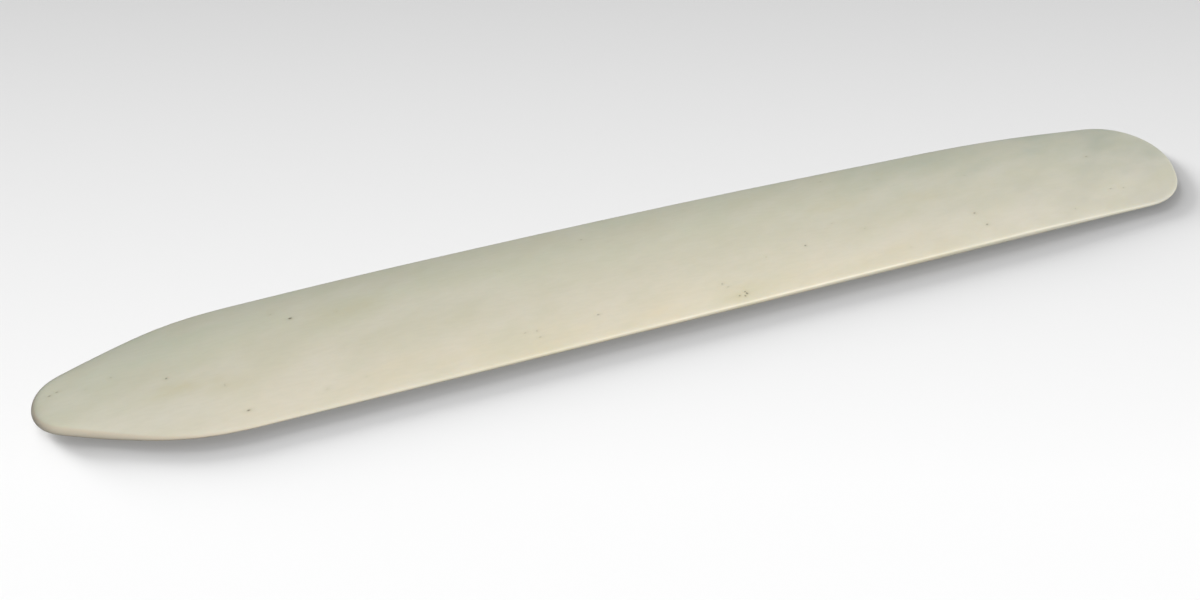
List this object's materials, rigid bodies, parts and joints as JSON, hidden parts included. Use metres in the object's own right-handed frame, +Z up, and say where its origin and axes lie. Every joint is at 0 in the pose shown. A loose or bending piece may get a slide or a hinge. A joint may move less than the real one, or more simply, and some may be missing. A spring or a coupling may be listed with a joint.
{
  "type": "bone folder",
  "caption": "Flat polished bone folder with one straight edge, one slightly bowed edge, a blunt tapered point and a rounded heel, for creasing paper.",
  "frame": {"origin": "on the surface that the blade rests on, under the middle of its length and width", "axes": "+X along the blade from the point to the heel, +Y from the straight edge to the bowed edge, +Z up through the thickness"},
  "size_m": [0.152, 0.022, 0.003],
  "materials": {
    "polished_bone": "satin polished bone, cream to greenish ivory"
  },
  "bodies": {
    "root": {"blade": "polished_bone"}
  },
  "joints": []
}
